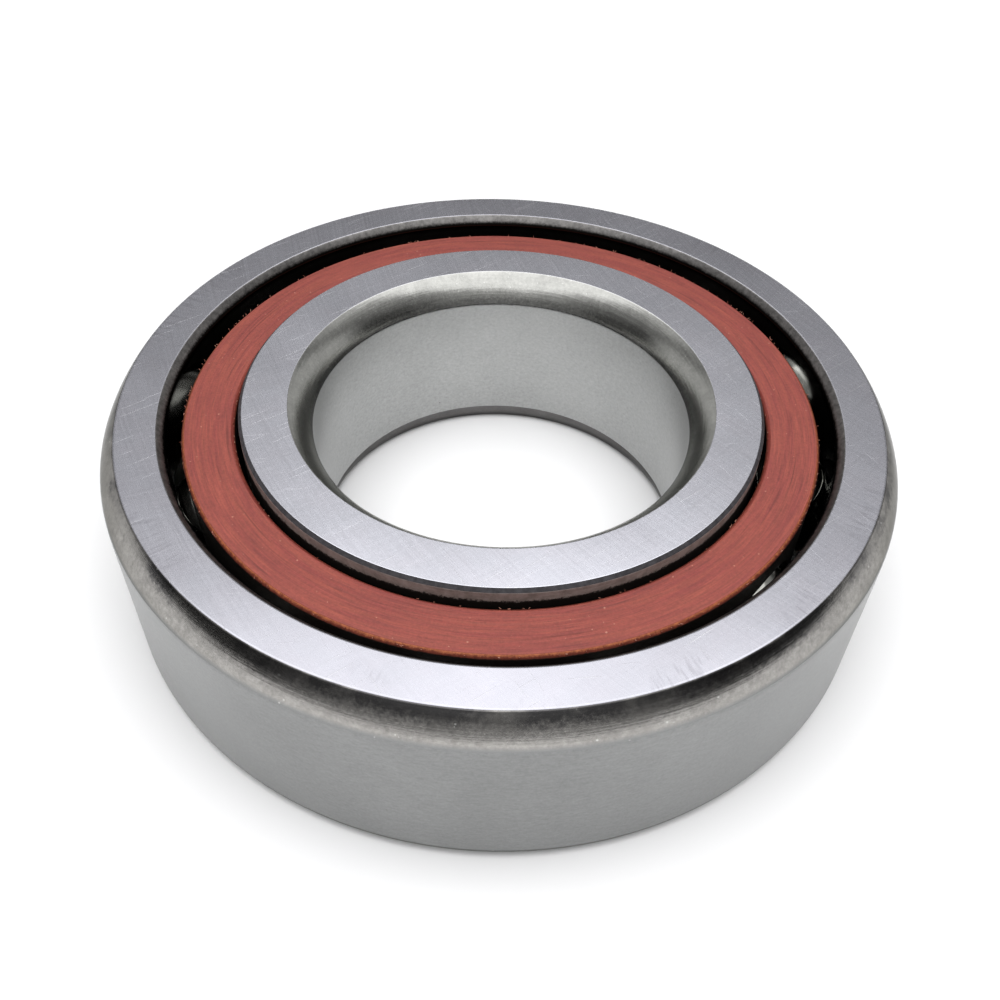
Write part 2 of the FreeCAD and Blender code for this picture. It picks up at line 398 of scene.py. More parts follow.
def ground_face_material(name, tint, chatter=False):
    """Ring faces: surface ground, with crossing arcs, a few scratches and faint cloudiness. The
    outer ring's has faint chatter marks at its rim."""
    s = Shader(name)
    first = grinding_arcs(s, (74, 46), 0.24, 8.0)
    second = grinding_arcs(s, (-58, 66), 0.42, 6.0)
    flecks = s.noise(s.place, 3.0, 5, 0.8)
    lay = s.add(s.times(first, 0.40), s.times(second, 0.20))
    lay = s.add(lay, s.times(flecks, 0.40))
    scratches = s.math(
        "MAXIMUM", stray_scratches(s, 38, 0.075, 7.0, 0.71), stray_scratches(s, -58, 0.07, 4.5, 0.73)
    )
    scratches = s.math("MAXIMUM", scratches, stray_scratches(s, 8, 0.065, 3.5, 0.76))
    cloud = s.noise(s.place, 0.13, 3, 0.5)
    blush = s.noise(s.place, 0.45, 2, 0.5)
    shade = s.add(s.stretch(lay, 0.32, 0.68, 0.88, 1.10), s.stretch(cloud, 0.3, 0.7, -0.07, 0.07))
    base = s.tinted(tint, shade)
    warmer = s.tinted((tint[0] * 1.03, *tint[1:]), shade)
    base = s.blend(s.stretch(blush, 0.35, 0.65, 0.0, 0.35), base, warmer)
    base = s.blend(s.times(scratches, 0.40), base, SCRATCH_TINT)
    rough = s.stretch(lay, 0.3, 0.7, 0.22, 0.31)
    if chatter:
        ticks = s.stretch(s.around(95.0, 0.5, 0.0, 2, 0.5), 0.50, 0.62)
        patches = s.stretch(s.noise(s.vector("SUBTRACT", s.place, (22, 10, 0)), 0.11, 1), 0.53, 0.60)
        near_edge = s.stretch(s.radius, OUTER_SHOULDER_RADIUS + 1.6, OUTER_SHOULDER_RADIUS + 2.6)
        ticks = s.times(s.times(ticks, patches), near_edge)
        base = s.blend(s.times(ticks, 0.22), base, CHATTER_TINT)
    relief = s.bump(lay, 0.0020)
    relief = s.bump(scratches, 0.003, relief)
    return s.set(Base_Color=base, Metallic=1.0, Roughness=rough, Normal=relief)


def dusted(s, base, scale, size):
    """A colour with pale grains of dust on it."""
    grains = s.spots(s.place, scale, size)
    return s.blend(s.times(grains, 0.6), base, DUST_TINT)


def turned_corner(s, tint, ring_pitch, ring_depth, grain_depth, roughest, blotch):
    """Corner radii and bevels: turned before hardening and never ground, so fine rings and a
    cloudy skin are left on them. Gives the skin's colour, roughness, relief and grain."""
    rings = s.around(3.0, 1 / ring_pitch, 1 / ring_pitch, 3)
    cloud = s.noise(s.place, 0.45, 4, 0.6)
    grain = s.noise(s.place, 4.5, 4, 0.7)
    shade = s.add(s.stretch(cloud, 0.35, 0.65, 0.86, 1.02), s.stretch(grain, 0.3, 0.7, -0.09, 0.09))
    shade = s.add(shade, s.stretch(rings, 0.3, 0.7, -0.05, 0.05))
    blotches = s.noise(s.place, 1.9, 6, 0.82)
    shade = s.times(shade, s.stretch(blotches, 0.36, 0.62, 1 - blotch, 1 + blotch / 2))
    base = s.tinted(tint, shade)
    rough = s.stretch(rings, 0.3, 0.7, roughest - 0.06, roughest)
    rough = s.add(rough, s.stretch(grain, 0.3, 0.7, -0.02, 0.03))
    relief = s.bump(rings, ring_depth)
    relief = s.bump(grain, grain_depth, relief)
    return base, rough, relief, grain


def outside_corner_material():
    """The outer corner: painted shade in dark patches beside the face, and a pale band just above its
    crease with the outside."""
    s = Shader("outside_corner")
    base, rough, relief, _ = turned_corner(s, CORNER_TINT, 0.16, 0.006, 0.005, 0.20, 0.24)
    patch = s.noise(s.place, 0.22, 4, 0.65)
    crumbs = s.noise(s.place, 3.2, 5, 0.8)
    ragged = s.add(s.z, s.times(crumbs, 2.6))
    # Painted shade: dark patches on the corner beside the face.
    beside_face = s.stretch(ragged, WIDTH + 0.2, WIDTH + 0.9)
    stain_and_shade = s.times(s.stretch(patch, 0.42, 0.56, 0.25, 1.0), beside_face)
    base = s.blend(s.times(stain_and_shade, 0.88), base, PAINTED_DARK_TINT)
    crease = WIDTH - OUTER_CORNER[1]
    off_crease = s.math("ABSOLUTE", s.minus(s.z, crease + 0.42))
    pale = s.stretch(s.add(off_crease, s.times(crumbs, 0.7)), 0.75, 0.25)
    base = s.blend(s.times(pale, 0.14), base, PALE_LINE_TINT)
    base = s.blend(s.stretch(s.z, crease + 0.42, crease + 0.05), base, OUTSIDE_TINT)
    base = dusted(s, base, 1.0, 0.09)
    return s.set(
        Base_Color=base, Metallic=1.0, Roughness=rough, Normal=relief, Specular_Tint=(0.45, 0.45, 0.44),
    )


def bore_corner_material():
    """The large corner at the top of the bore, painted darker towards its root, where the ground bore
    begins.
    """
    s = Shader("bore_corner")
    base, rough, relief, grain = turned_corner(s, BORE_CORNER_TINT, 0.19, 0.009, 0.001, 0.25, 0.10)
    root = WIDTH - BORE_CORNER[1]
    ragged = s.add(s.z, s.times(grain, 0.9))
    toward_root = s.stretch(ragged, root + 1.15, root + 0.45)
    base = s.blend(s.times(toward_root, 0.78), base, PAINTED_DARK_TINT)
    base = dusted(s, base, 1.6, 0.10)
    return s.set(
        Base_Color=base, Metallic=1.0, Roughness=rough, Normal=relief, Specular_Tint=(0.6, 0.6, 0.58),
    )


def outer_bevel_material():
    """The bevel from the outer ring's face down to its high shoulder, with painted shade at its foot, by
    the gap.
    """
    s = Shader("outer_bevel")
    base, rough, relief, grain = turned_corner(s, BEVEL_TINT, 0.16, 0.006, 0.006, 0.42, 0.45)
    # Painted shade: the bevel goes black towards its foot, by the gap.
    down = s.add(s.z, s.times(grain, 0.3))
    base = s.blend(s.stretch(down, WIDTH - 0.26, WIDTH - 0.46), base, BEVEL_FOOT_SHADE_TINT)
    return s.set(
        Base_Color=base, Metallic=1.0, Roughness=rough, Normal=relief, Specular_Tint=(0.15, 0.15, 0.15),
    )


def foot_corner_material():
    """The corner at the bottom of the bore, plain, with a dark tint that is painted shade where it faces
    the table.
    """
    s = Shader("foot_corner")
    # Painted shade: a dark tint for the corner that faces down at the table.
    base, rough, relief, _ = turned_corner(s, FOOT_SHADE_TINT, 0.16, 0.006, 0.004, 0.25, 0.1)
    return s.set(
        Base_Color=base, Metallic=1.0, Roughness=rough, Normal=relief, Specular_Tint=(0.5, 0.5, 0.5),
    )


def ground_seat_material(name, tint):
    """Outside and bore: cylindrically ground, satin, finely mottled, with a few small pits."""
    s = Shader(name)
    lines = s.around(7.0, 12.0, 2.0, 3)
    mottle = s.around(40.0, 1.0, 4.2, 4, 0.72)
    frost = s.noise(s.place, 5.0, 3, 0.7)
    cloud = s.noise(s.place, 0.14, 3, 0.5)
    shade = s.add(s.stretch(mottle, 0.32, 0.68, 0.85, 1.12), s.stretch(frost, 0.3, 0.7, -0.09, 0.09))
    shade = s.add(shade, s.stretch(cloud, 0.3, 0.7, -0.05, 0.05))
    pits = s.times(s.spots(s.place, 0.33, 0.034), 0.6)
    base = s.blend(pits, s.tinted(tint, shade), PIT_TINT)
    rough = s.stretch(mottle, 0.3, 0.7, 0.28, 0.42)
    relief = s.bump(lines, 0.003)
    relief = s.bump(mottle, 0.010, relief)
    return s.set(Base_Color=base, Metallic=1.0, Roughness=rough, Normal=relief)


def shoulder_material():
    """The inner ring's shoulders: left brown-grey by hardening, with a painted highlight just below each
    bevel, and painted black as shade where they go down past the cage."""
    s = Shader("inner_shoulder")
    rings = s.around(3.0, 8.0, 8.0, 3)
    stain_and_shade = s.noise(s.place, 1.6, 4, 0.65)
    shade = s.add(s.stretch(stain_and_shade, 0.35, 0.65, 0.65, 1.05), s.stretch(rings, 0.3, 0.7, -0.12, 0.12))
    base = s.tinted(SHOULDER_TINT, shade)
    depth = s.minus(WIDTH / 2, s.math("ABSOLUTE", s.minus(s.z, WIDTH / 2)))
    crumbs = s.noise(s.place, 4.5, 4, 0.75)
    # Painted shade: black where the shoulders go down past the cage.
    gap_shade = s.stretch(s.add(depth, s.times(crumbs, 0.9)), 1.44, 1.62)
    base = s.blend(gap_shade, base, SHOULDER_GAP_SHADE_TINT)
    # Painted highlight: a pale band just below each bevel.
    crease_highlight = s.times(s.stretch(depth, 0.34, 0.29), s.stretch(stain_and_shade, 0.4, 0.6, 0.1, 0.6))
    base = s.blend(crease_highlight, base, SHOULDER_HIGHLIGHT_TINT)
    rough = s.stretch(stain_and_shade, 0.3, 0.7, 0.42, 0.58)
    return s.set(
        Base_Color=base, Roughness=rough, Normal=s.bump(rings, 0.006), Specular_IOR_Level=0.3,
    )


def shoulder_edge_material():
    """The small bevels at the ends of the inner ring's shoulders, left black."""
    s = Shader("shoulder_edge")
    stain_and_shade = s.noise(s.place, 2.2, 4, 0.65)
    base = s.tinted(SHOULDER_EDGE_TINT, s.stretch(stain_and_shade, 0.35, 0.65, 0.6, 1.15))
    rough = s.stretch(stain_and_shade, 0.3, 0.7, 0.45, 0.6)
    return s.set(Base_Color=base, Roughness=rough, Normal=s.bump(stain_and_shade, 0.004), Specular_IOR_Level=0.14)


def honed_material(name, tint, shade_height):
    """Ball grooves and the outer ring's shoulders: honed to a dark mirror under a thin film of oil, and
    painted black above shade_height, as shade in the gap beside the cage."""
    s = Shader(name)
    lines = s.around(2.0, 20.0, 20.0, 3)
    film = s.noise(s.place, 0.5, 3, 0.6)
    base = s.tinted(tint, s.stretch(film, 0.35, 0.65, 0.8, 1.1))
    # Painted shade: black above shade_height.
    base = s.blend(s.stretch(s.z, shade_height - 0.4, shade_height), base, GAP_SHADE_TINT)
    rough = s.stretch(lines, 0.3, 0.7, 0.07, 0.12)
    return s.set(
        Base_Color=base, Metallic=1.0, Roughness=rough, Normal=s.bump(lines, 0.001),
        Specular_Tint=(0.5, 0.5, 0.5),
    )


def ball_material():
    """Lapped balls with faint smears of oil."""
    s = Shader("lapped_ball")
    smear = s.noise(s.place, 0.8, 3, 0.6, 0.4)
    base = s.tinted(BALL_TINT, s.stretch(smear, 0.35, 0.65, 0.75, 1.0))
    rough = s.stretch(smear, 0.3, 0.7, 0.06, 0.13)
    relief = s.bump(s.noise(s.place, 12.0, 2), 0.0003)
    return s.set(Base_Color=base, Metallic=1.0, Roughness=rough, Normal=relief)


def cage_material():
    """Cotton cloth wound and bonded with phenolic resin, then turned. Across the end faces the layers
    show as broken rings. The outer rims have a painted highlight at the top and painted shade below, and
    the walls under the rims are painted black as shade."""
    s = Shader("fabric_phenolic")
    layers = s.around(4.0, 2.4, 0.0, 3, 0.6)
    cuts = s.add(s.around(5.0, 6.0, 0.0, 4, 0.75), s.around(11.0, 13.0, 0.0, 2, 0.6))
    cuts = s.times(cuts, 0.5)
    deep_cuts = s.around(3.0, 5.0, 0.3, 1, 0.5)
    threads = s.noise(s.place, 5.5, 3, 0.65)
    shade = s.add(s.stretch(cuts, 0.36, 0.64, 0.72, 1.16), s.stretch(threads, 0.3, 0.7, -0.13, 0.13))
    base = s.blend(s.stretch(layers, 0.35, 0.65), *CLOTH_TINTS)
    base = s.blend(s.stretch(cuts, 0.58, 0.72, 0.0, 0.18), base, CUT_THREAD_TINT)
    base = s.blend(s.stretch(deep_cuts, 0.38, 0.28, 0.0, 0.65), base, DEEP_CUT_TINT)
    lint = s.times(s.spots(s.place, 1.3, 0.11), s.stretch(threads, 0.45, 0.65, 0.0, 0.6))
    base = s.blend(lint, base, LINT_TINT)
    base = s.blend(1.0, base, s.grey(shade), "MULTIPLY")
    away = s.math("ABSOLUTE", s.minus(s.z, (CAGE_LOW + CAGE_HIGH) / 2))
    half = (CAGE_HIGH - CAGE_LOW) / 2
    # Painted highlight and shade on the outer rims: lit orange at the top, shaded brown lower down, with
    # ragged edges.
    rim = s.stretch(away, half - 0.01, half - 0.03)
    rim = s.times(rim, s.stretch(threads, 0.25, 0.55, 0.5, 1.0))
    rim = s.times(rim, s.math("GREATER_THAN", s.radius, PITCH_RADIUS))
    tatters = s.noise(s.place, 3.4, 5, 0.8)
    down = s.times(s.minus(half, away), 1.7)
    rim_light_and_shade = s.blend(s.stretch(s.minus(tatters, down), 0.22, 0.50), *RIM_LIGHT_AND_SHADE_TINTS)
    base = s.blend(rim, base, rim_light_and_shade)
    # Painted shade: the rims darken lower down, and the walls under them go black.
    ragged = s.add(away, s.times(s.minus(tatters, 0.5), 0.34))
    base = s.blend(s.stretch(ragged, half - 0.12, half - 0.18), base, RIM_SHADE_TINT)
    base = s.blend(s.stretch(ragged, half - 0.18, half - 0.32), base, WALL_SHADE_TINT)
    rough = s.stretch(cuts, 0.3, 0.7, 0.45, 0.62)
    relief = s.bump(cuts, 0.02)
    relief = s.bump(threads, 0.012, relief)
    return s.set(Base_Color=base, Roughness=rough, Normal=relief, Specular_IOR_Level=0.42)


def fibre_material():
    """Loose ends of the cage's threads, pale where the resin has come off."""
    s = Shader("loose_thread")
    fleck = s.noise(s.place, 6.0, 2)
    base = s.blend(s.stretch(fleck, 0.4, 0.6), *LOOSE_THREAD_TINTS)
    rough = s.stretch(fleck, 0.3, 0.7, 0.5, 0.8)
    return s.set(Base_Color=base, Roughness=rough, Normal=s.bump(fleck, 0.002))


# ---------------------------------------------------------------- the bearing's pieces

# Zones of the two rings' cross-sections, in the order of their materials.

(
    OUTER_FACE, INNER_FACE, OUTER_EDGE, OUTER_BEVEL, BORE_EDGE, FOOT,
    OUTSIDE, BORE, SHOULDER, SHOULDER_EDGE, LAND, RACEWAY,
) = range(12)


def groove_centre(side):
    """Centre of a groove's arc. side is +1 for the inner ring's groove, whose centre lies beyond
    the ball's, and -1 for the outer ring's."""
    return (
        PITCH_RADIUS + side * GROOVE_SHIFT * math.cos(CONTACT_ANGLE),
        BALL_HEIGHT + side * GROOVE_SHIFT * math.sin(CONTACT_ANGLE),
    )


def groove_height(centre, radius, way):
    """Height where the ball groove cuts a shoulder of that radius. way is +1 above the middle
    of the groove and -1 below it."""
    return centre[1] + way * math.sqrt(GROOVE_RADIUS**2 - (radius - centre[0]) ** 2)


def groove_bow(start, end, centre, hollow):
    """How far the groove's middle stands off the straight line between its two ends. hollow is
    +1 where the groove opens inwards, on the outer ring, and -1 on the inner ring."""
    half = math.dist(start, end) / 2
    flat = math.sqrt(GROOVE_RADIUS**2 - half**2)
    middle = ((start[0] + end[0]) / 2, (start[1] + end[1]) / 2)
    past_centre = (middle[0] - centre[0]) * hollow > 0
    return -(GROOVE_RADIUS - flat) if past_centre else -(GROOVE_RADIUS + flat)


def make_outer_ring(materials):
    """The outer ring: wide face and high shoulder at the top, counterbore at the bottom."""
    centre = groove_centre(-1)
    top = (OUTER_SHOULDER_RADIUS, groove_height(centre, OUTER_SHOULDER_RADIUS, 1))
    low = (OUTER_RELIEF_RADIUS, groove_height(centre, OUTER_RELIEF_RADIUS, -1))
    face_edge = OUTSIDE_RADIUS - OUTER_CORNER[0]
    points, zones = rounded_outline([
        (OUTER_MOUTH_RADIUS + MOUTH_BEVEL, 0, 0.06, 0, 2, OUTER_FACE),
        (OUTSIDE_RADIUS - OUTER_FOOT[0], 0, 0.08, OUTER_FOOT[2], 8, OUTER_EDGE),
        (OUTSIDE_RADIUS, OUTER_FOOT[1], 0.10, 0, 6, OUTSIDE),
        (OUTSIDE_RADIUS, WIDTH - OUTER_CORNER[1], 0.45, OUTER_CORNER[2], 10, OUTER_EDGE),
        (face_edge, WIDTH, 0.15, 0, 4, OUTER_FACE),
        (OUTER_SHOULDER_RADIUS + FACE_BEVEL[0], WIDTH, 0.10, 0.03, 6, OUTER_BEVEL),
        (OUTER_SHOULDER_RADIUS, WIDTH - FACE_BEVEL[1], 0.12, 0, 3, LAND),
        (*top, 0.08, groove_bow(top, low, centre, 1), 40, RACEWAY),
        (*low, 0.05, 0, 3, RACEWAY),
        (OUTER_RELIEF_RADIUS, RELIEF_LIP_HEIGHT, 0.1, 0, 3, RACEWAY),
        (OUTER_MOUTH_RADIUS, MOUTH_BEVEL, 0.06, 0, 2, OUTER_EDGE),
    ])
    piece = lathe("outer_ring_ground", points, zones, materials, OUTER_SEGMENTS)
    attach(piece, "outer_ring")
    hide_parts("outer_ring")


def make_inner_ring(materials):
    """The inner ring: two equal shoulders, with the large bore corner at the top."""
    centre = groove_centre(1)
    low = (INNER_SHOULDER_RADIUS, groove_height(centre, INNER_SHOULDER_RADIUS, -1))
    top = (INNER_SHOULDER_RADIUS, groove_height(centre, INNER_SHOULDER_RADIUS, 1))
    face_edge = BORE_RADIUS + BORE_CORNER[0]
    bevel_edge = INNER_SHOULDER_RADIUS - SHOULDER_BEVEL
    points, zones = rounded_outline([
        (BORE_RADIUS, BORE_FOOT[1], 0.10, BORE_FOOT[2], 10, FOOT),
        (BORE_RADIUS + BORE_FOOT[0], 0, 0.08, 0, 4, INNER_FACE),
        (bevel_edge, 0, 0.05, 0, 3, SHOULDER_EDGE),
        (INNER_SHOULDER_RADIUS, SHOULDER_BEVEL, 0.05, 0, 4, SHOULDER),
        (*low, 0.08, groove_bow(low, top, centre, -1), 40, RACEWAY),
        (*top, 0.08, 0, 4, SHOULDER),
        (INNER_SHOULDER_RADIUS, WIDTH - SHOULDER_BEVEL, 0.05, 0, 3, SHOULDER_EDGE),
        (bevel_edge, WIDTH, 0.05, 0, 4, INNER_FACE),
        (face_edge, WIDTH, 0.05, BORE_CORNER[2], 12, BORE_EDGE),
        (BORE_RADIUS, WIDTH - BORE_CORNER[1], 0.15, 0, 6, BORE),
    ])
    piece = lathe("inner_ring_ground", points, zones, materials, INNER_SEGMENTS)
    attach(piece, "inner_ring")
    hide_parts("inner_ring")


def turned_face(inner, outer, height, way, rng):
    """Points across a turned end face, with the shallow ridges that the tool leaves. way is +1
    for the lower face, run outwards, and -1 for the upper face, run inwards."""
    radii = np.arange(inner, outer, RIDGE_PITCH)
    ridges = rng.uniform(0, RIDGE_DEPTH, len(radii))
    rows = np.stack([radii, height + way * ridges], axis=1)
    return rows[::way]


def make_cage(material):
    """Turn the ring, then bore the ball pockets."""
    rng = np.random.default_rng(RIDGE_SEED)
    inner = CAGE_INSIDE_RADIUS + CAGE_BEVEL + CAGE_FACE_INSET[0]
    outer = CAGE_OUTSIDE_RADIUS - CAGE_BEVEL - CAGE_FACE_INSET[1]
    top_face = turned_face(inner, outer, CAGE_HIGH, -1, rng)
    low_face = turned_face(inner, outer, CAGE_LOW, 1, rng)
    wall_low = CAGE_LOW + CAGE_BEVEL + CAGE_WALL_INSET
    wall_high = CAGE_HIGH - CAGE_BEVEL - CAGE_WALL_INSET
    wall_heights = np.linspace(wall_low, wall_high, CAGE_WALL_ROWS)
    outer_wall = np.stack([np.full(CAGE_WALL_ROWS, CAGE_OUTSIDE_RADIUS), wall_heights], axis=1)
    inner_wall = np.stack([np.full(CAGE_WALL_ROWS, CAGE_INSIDE_RADIUS), wall_heights[::-1]], axis=1)
    points = np.vstack([low_face, outer_wall, top_face, inner_wall])
    piece = lathe("cage_blank", points, [0] * len(points), [material], CAGE_SEGMENTS)
    cutter = pocket_cutter()
    cut = piece.modifiers.new("pockets", "BOOLEAN")
    cut.operation = "DIFFERENCE"
    cut.solver = "EXACT"
    cut.object = cutter
    bpy.context.view_layer.update()
    evaluated = piece.evaluated_get(bpy.context.evaluated_depsgraph_get())
    mesh = bpy.data.meshes.new_from_object(evaluated)
    bpy.data.objects.remove(cutter)
    bpy.data.objects.remove(piece)
    mesh.shade_smooth()
    mesh.set_sharp_from_angle(angle=CAGE_SHARP_EDGE)
    cage = new_object("cage_turned", mesh)
    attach(cage, "cage")
    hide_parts("cage")


# Where the cut threads stand: the rim's radius and height, how they lean outwards, which way they
# stand, and how many there are.
FIBRE_RIMS = [
    (CAGE_OUTSIDE_RADIUS - 0.05, CAGE_HIGH - 0.10, 1, 1, 150),
    (CAGE_INSIDE_RADIUS + 0.05, CAGE_HIGH - 0.10, -0.25, 1, 70),
    (CAGE_OUTSIDE_RADIUS - 0.05, CAGE_LOW + 0.10, 1, -1, 60),
]


def make_cage_fibres(material):
    """Cut ends of the cloth's threads, standing about 0.15 mm out of the cage's rims."""
    rng = np.random.default_rng(FIBRE_SEED)
    hairs = bmesh.new()
    for rim_radius, rim_height, outwards, upwards, count in FIBRE_RIMS:
        for turn in rng.uniform(0, 2 * math.pi, count):
            out = Vector((math.cos(turn), math.sin(turn), 0))
            along = Vector((-out.y, out.x, 0)) * rng.uniform(-1.6, 1.6)
            lean = out * outwards * rng.uniform(0.1, 0.9)
            way = (along + lean + Vector((0, 0, upwards * rng.uniform(0.3, 0.9)))).normalized()
            root = out * rim_radius + Vector((0, 0, rim_height))
            length = rng.uniform(0.08, 0.24)
            add_fibre(hairs, root, way, length, rng.uniform(0.018, 0.036), out)
    mesh = bpy.data.meshes.new("cage_fibres")
    hairs.to_mesh(mesh)
    hairs.free()
    mesh.materials.append(material)
    mesh.shade_smooth()
    fibres = new_object("cage_fibres", mesh)
    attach(fibres, "cage")


def add_fibre(hairs, root, way, length, thickness, side):
    """A closed six-sided hair, in millimetres, that tapers and bends to one side."""
    across = way.cross(side).normalized()
    other = way.cross(across)
    rings = []
    for share in (0.0, 0.5, 0.85):
        centre = root + way * length * share + across * length * 0.3 * share**2
        width = thickness * (1 - 0.5 * share)
        turns = [i * math.pi / 3 for i in range(6)]
        points = [centre + (across * math.cos(t) + other * math.sin(t)) * width for t in turns]
        rings.append([hairs.verts.new(point * MM) for point in points])
    tip = hairs.verts.new((root + way * length + across * length * 0.3) * MM)
    for low, high in zip(rings, rings[1:]):
        for i in range(6):
            hairs.faces.new((low[i], low[(i + 1) % 6], high[(i + 1) % 6], high[i]))
    for i in range(6):
        hairs.faces.new((rings[-1][i], rings[-1][(i + 1) % 6], tip))
    hairs.faces.new(rings[0][::-1])


def pocket_cutter():
    """A set of drills, one through each ball's centre along its own radius."""
    tool = bmesh.new()
    for name in BALL_NAMES:
        low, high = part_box(name)
        centre = (low + high) / 2
        out = Vector((centre.x, centre.y, 0)).normalized()
        turn = out.to_track_quat("Z", "Y").to_matrix().to_4x4()
        place = Matrix.Translation(centre) @ turn
        bmesh.ops.create_cone(
            tool, cap_ends=True, segments=DRILL_SEGMENTS, depth=DRILL_LENGTH * MM, matrix=place,
            radius1=POCKET_RADIUS * MM, radius2=POCKET_RADIUS * MM,
        )
    mesh = bpy.data.meshes.new("pocket_drills")
    tool.to_mesh(mesh)
    tool.free()
    return new_object("pocket_drills", mesh)


def make_ball(name, material):
    """One ball, in the place of the frame's ball of that name."""
    low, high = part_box(name)
    centre = (low + high) / 2
    ball = bmesh.new()
    place = Matrix.Translation(centre)
    bmesh.ops.create_icosphere(
        ball, subdivisions=BALL_SUBDIVISIONS, radius=BALL_RADIUS * MM, matrix=place,
    )
    mesh = bpy.data.meshes.new(f"steel_{name}")
    ball.to_mesh(mesh)
    ball.free()
    mesh.materials.append(material)
    mesh.shade_smooth()
    mesh.normals_split_custom_set_from_vertices([(v.co - centre).normalized() for v in mesh.vertices])
    piece = new_object(f"steel_{name}", mesh)
    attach(piece, name)
    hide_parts(name)


# ---------------------------------------------------------------- studio

SENSOR_WIDTH = 36.0
CAMERA_FOCAL = 37.45
CAMERA_TARGET = Vector((0.414, -4.776, 8.0)) * MM
CAMERA_DISTANCE = 84.2 * MM
CAMERA_ELEVATION = math.radians(45.63)
CAMERA_ROLL = math.radians(2.08)
CAMERA_SHIFT = (-0.0036, 0.0046)

FLOOR_RADIUS = 1.2
FLOOR_SEGMENTS = 96
FLOOR_TINTS = ((0.90, 0.90, 0.90), (0.92, 0.92, 0.92))
# Painted light: the floor glows white, rising between the two radii.
FLOOR_GLOW = (55, 150, 0.3)    # from this radius to that, in millimetres, and its full strength

# Each light hangs level over the table. Reflections show the soft box and the room. They don't
# show the fill, which only brightens what is matt.
LIGHT_TINT = (0.99, 0.99, 1.0)
SOFT_BOX_SIZE = (0.42, 0.50)
SOFT_BOX_PLACE = (0, -0.07, 0.25)
SOFT_BOX_RADIANCE = 1.3
FILL_SIZE = (0.18, 0.08)
FILL_PLACE = (0, -0.035, 0.16)
FILL_RADIANCE = 2.5

# Brightness of the room against the sine of the height above the table: behind the bearing,
# to its left and right, and on the near side.
GLOW_BEHIND = [
    (0.0, 0.26), (0.08, 0.58), (0.32, 0.60), (0.42, 0.20), (0.49, 0.17), (0.56, 0.46),
    (0.62, 0.60), (0.76, 0.72), (0.84, 1.0),
]
GLOW_ASIDE = [
    (0.0, 0.06), (0.08, 0.03), (0.28, 0.05), (0.42, 0.12), (0.56, 0.30), (0.70, 0.38),
    (0.9, 0.35), (1.0, 0.9),
]
GLOW_NEAR = [
    (0.0, 0.50), (0.07, 0.52), (0.14, 0.46), (0.22, 0.28), (0.30, 0.24), (0.42, 0.52),
    (0.50, 0.66), (0.60, 0.60), (1.0, 0.4),
]
BEHIND_SPAN = (-0.06, 0.22)    # a direction's Y, from aside to fully behind
NEAR_SPAN = (-0.55, -0.95)     # and from aside to fully on the near side


def make_camera():
    """A camera that looks down at the bearing from the near side."""
    data = bpy.data.cameras.new("camera")
    data.lens = CAMERA_FOCAL
    data.sensor_width = SENSOR_WIDTH
    data.shift_x, data.shift_y = CAMERA_SHIFT
    data.clip_start = 0.001
    data.clip_end = 20.0
    camera = bpy.data.objects.new("camera", data)
    back = Vector((0, -math.cos(CAMERA_ELEVATION), math.sin(CAMERA_ELEVATION)))
    right = Vector((1, 0, 0))
    up = back.cross(right)
    rolled_right = right * math.cos(CAMERA_ROLL) + up * math.sin(CAMERA_ROLL)
    rolled_up = -right * math.sin(CAMERA_ROLL) + up * math.cos(CAMERA_ROLL)
    turn = Matrix((rolled_right, rolled_up, back)).transposed().to_4x4()
    camera.matrix_world = Matrix.Translation(CAMERA_TARGET + back * CAMERA_DISTANCE) @ turn
    bpy.context.scene.collection.objects.link(camera)
    bpy.context.scene.camera = camera


def make_floor():
    """A plain pale table top that glows white away from the bearing: painted light."""
    s = Shader("pale_floor")
    tone = s.noise(s.place, 0.02, 2, 0.5)
    # Painted light: the floor's glow.
    glow_start, glow_end, strength = FLOOR_GLOW
    floor_glow = s.stretch(s.radius, glow_start, glow_end, 0.0, strength)
    material = s.set(
        Base_Color=s.blend(tone, *FLOOR_TINTS), Roughness=0.7,
        Emission_Color=(1.0, 1.0, 1.0), Emission_Strength=floor_glow,
    )
    table = bmesh.new()
    bmesh.ops.create_circle(table, cap_ends=True, segments=FLOOR_SEGMENTS, radius=FLOOR_RADIUS)
    mesh = bpy.data.meshes.new("floor")
    table.to_mesh(mesh)
    table.free()
    mesh.materials.append(material)
    new_object("floor", mesh)


def make_light(name, shape, size, place, radiance):
    """A light of that width and depth, facing straight down, whose surface has that radiance."""
    data = bpy.data.lights.new(name, "AREA")
    data.shape = shape
    data.size, data.size_y = size
    area = size[0] * size[1] * (math.pi / 4 if shape == "ELLIPSE" else 1)
    data.energy = radiance * math.pi * area
    data.color = LIGHT_TINT
    light = bpy.data.objects.new(name, data)
    light.location = place
    light.rotation_mode = "QUATERNION"
    light.rotation_quaternion = Vector((0, 0, -1)).to_track_quat("-Z", "Y")
    bpy.context.scene.collection.objects.link(light)
    return light


def glow_ramp(nodes, links, height, glow):
    """Colour ramp of one side of the room, over the sine of the height."""
    ramp = nodes.new("ShaderNodeValToRGB")
    stops = ramp.color_ramp.elements
    while len(stops) < len(glow):
        stops.new(1.0)
    for stop, (place, level) in zip(stops, glow):
        stop.position = place
        stop.color = (level, level, level, 1)
    links.new(height, ramp.inputs[0])
    return ramp.outputs[0]


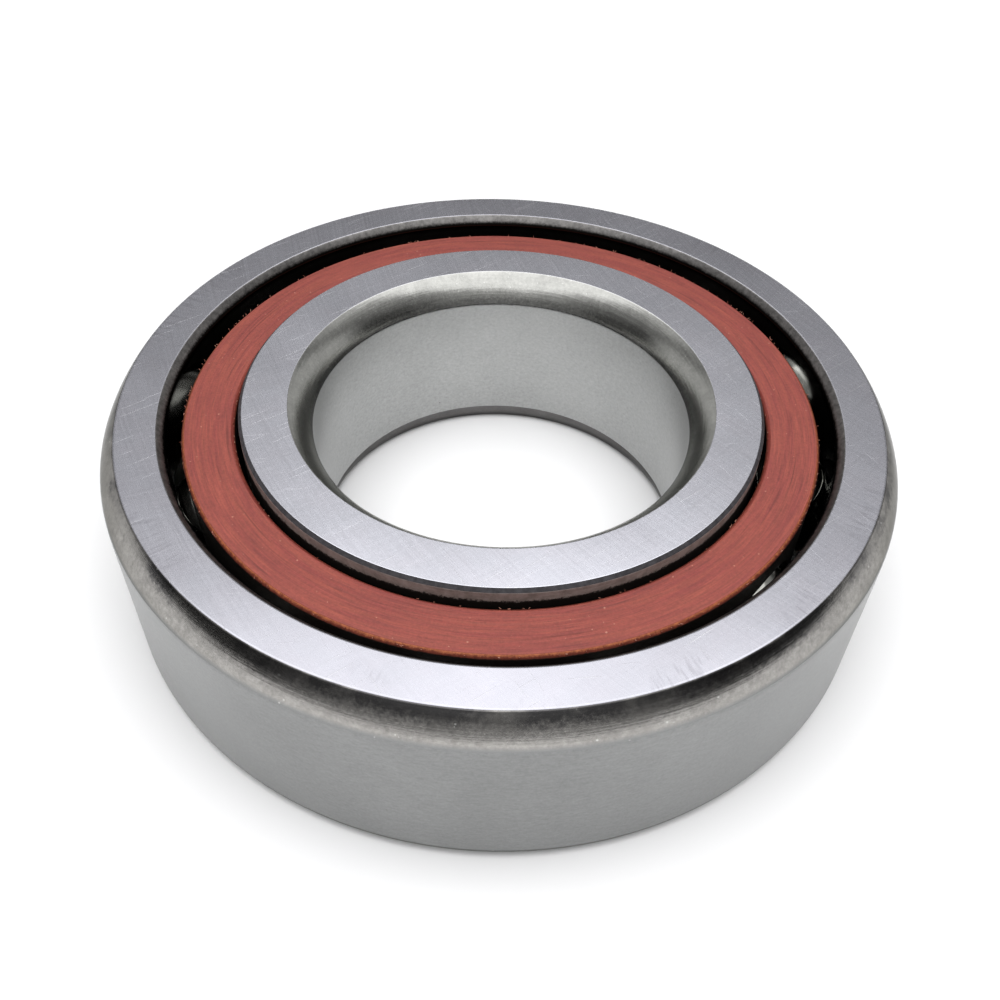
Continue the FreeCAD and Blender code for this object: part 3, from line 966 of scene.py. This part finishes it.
def make_air():
    """The room around the table, darkest low down to the left and right."""
    world = bpy.data.worlds.new("studio_air")
    world.use_nodes = True
    nodes = world.node_tree.nodes
    links = world.node_tree.links
    place = nodes.new("ShaderNodeTexCoord")
    split = nodes.new("ShaderNodeSeparateXYZ")
    links.new(place.outputs["Generated"], split.inputs[0])
    glow = glow_ramp(nodes, links, split.outputs["Z"], GLOW_ASIDE)
    for (start, end), ramp in ((BEHIND_SPAN, GLOW_BEHIND), (NEAR_SPAN, GLOW_NEAR)):
        share = nodes.new("ShaderNodeMapRange")
        share.inputs["From Min"].default_value = start
        share.inputs["From Max"].default_value = end
        links.new(split.outputs["Y"], share.inputs["Value"])
        mix = nodes.new("ShaderNodeMix")
        mix.data_type = "RGBA"
        links.new(share.outputs[0], mix.inputs[MIX_SHARE])
        links.new(glow, mix.inputs[MIX_FIRST])
        links.new(glow_ramp(nodes, links, split.outputs["Z"], ramp), mix.inputs[MIX_SECOND])
        glow = mix.outputs[MIX_RESULT]
    links.new(glow, nodes["Background"].inputs["Color"])
    bpy.context.scene.world = world


def make_studio():
    make_floor()
    make_air()
    make_light("overhead_soft_box", "ELLIPSE", SOFT_BOX_SIZE, SOFT_BOX_PLACE, SOFT_BOX_RADIANCE)
    fill = make_light("overhead_fill", "RECTANGLE", FILL_SIZE, FILL_PLACE, FILL_RADIANCE)
    fill.visible_glossy = False
    view = bpy.context.scene.view_settings
    view.view_transform = "Standard"
    view.look = "None"


def main():
    make_camera()
    make_studio()
    ring_materials = [
        ground_face_material("outer_face", OUTER_FACE_TINT, chatter=True),
        ground_face_material("inner_face", INNER_FACE_TINT),
        outside_corner_material(),
        outer_bevel_material(),
        bore_corner_material(),
        foot_corner_material(),
        ground_seat_material("ground_outside", OUTSIDE_TINT),
        ground_seat_material("ground_bore", BORE_TINT),
        shoulder_material(),
        shoulder_edge_material(),
        honed_material("honed_shoulder", LAND_TINT, CAGE_HIGH + 0.3),
        honed_material("honed_raceway", RACEWAY_TINT, WIDTH),
    ]
    make_outer_ring(ring_materials)
    make_inner_ring(ring_materials)
    make_cage(cage_material())
    make_cage_fibres(fibre_material())
    lapped = ball_material()
    for name in BALL_NAMES:
        make_ball(name, lapped)


main()
